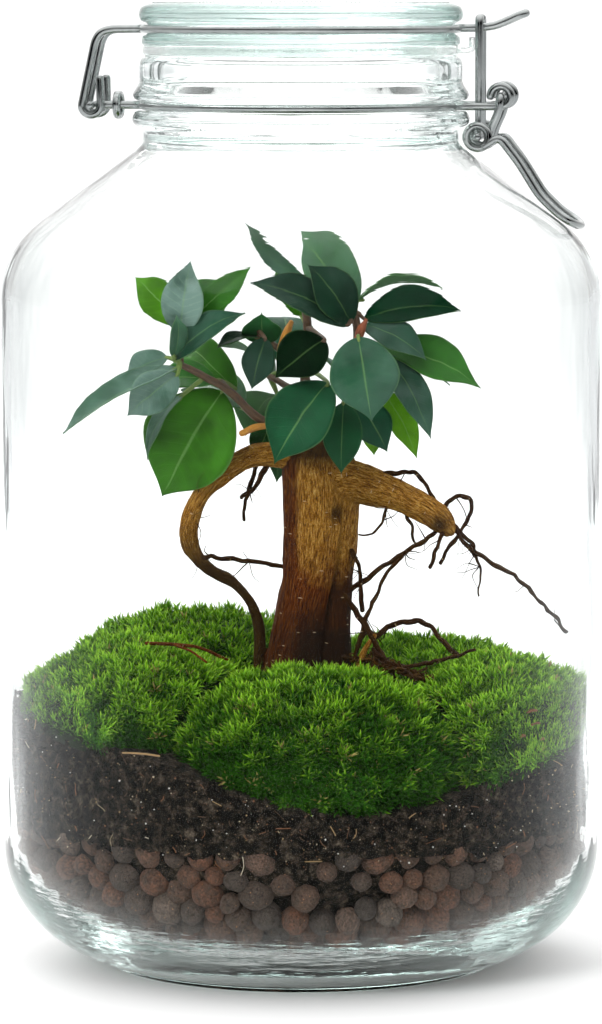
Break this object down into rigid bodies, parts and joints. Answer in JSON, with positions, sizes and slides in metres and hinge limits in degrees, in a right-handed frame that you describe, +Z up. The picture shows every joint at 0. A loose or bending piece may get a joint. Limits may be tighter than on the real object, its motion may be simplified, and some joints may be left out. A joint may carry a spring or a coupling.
{
  "type": "glass jar terrarium with a potted ficus",
  "caption": "Clip-top glass jar planted with a small ficus on aerial roots, moss cushions, soil and clay pebbles; the lid swings open when the clip is released.",
  "frame": {"origin": "middle of the jar's foot ring, on the surface that it stands on", "axes": "+Z up along the jar's axis; +X towards the clip, -X towards the lid's hinge; -Y is the front"},
  "size_m": [0.1826, 0.1826, 0.293],
  "materials": {
    "glass": "clear, slightly green soda-lime glass",
    "gasket": "translucent silicone",
    "wire": "drawn steel wire, satin",
    "clay": "fired clay, matt",
    "soil": "damp potting soil",
    "moss": "living cushion moss",
    "bark": "thin fissured bark",
    "leaf": "waxy leaf"
  },
  "bodies": {
    "jar": {"glass_jar": "glass", "neck_ring": "wire", "hinge_collar": "wire", "clay_pebbles": "clay", "potting_soil": "soil", "moss_front": "moss", "moss_left": "moss", "moss_right": "moss", "moss_back_left": "moss", "moss_back_right": "moss", "ficus_trunk": "bark", "leafy_stem_left": "leaf", "leafy_stem_middle": "leaf", "leafy_stem_right": "leaf"},
    "lid": {"glass_lid": "glass", "gasket": "gasket", "lid_wire": "wire"},
    "lever": {"clip_lever": "wire"},
    "link": {"clip_link": "wire"}
  },
  "joints": [
    {"name": "lid_hinge", "type": "hinge", "parent": "jar", "child": "lid", "pos_m": [-0.0633, 0, 0.2616], "axis": [0, -1, 0], "range_deg": [0, 105]},
    {"name": "lever_swing", "type": "hinge", "parent": "jar", "child": "lever", "pos_m": [0.0613, 0, 0.26465], "axis": [0, -1, 0], "range_deg": [0, 120]},
    {"name": "link_swing", "type": "hinge", "parent": "lever", "child": "link", "pos_m": [0.0546, 0, 0.2525], "axis": [0, 1, 0], "range_deg": [0, 156]}
  ],
  "couplings": [
    {"joint": "link_swing", "follows": "lever_swing", "ratio": 1.3}
  ]
}
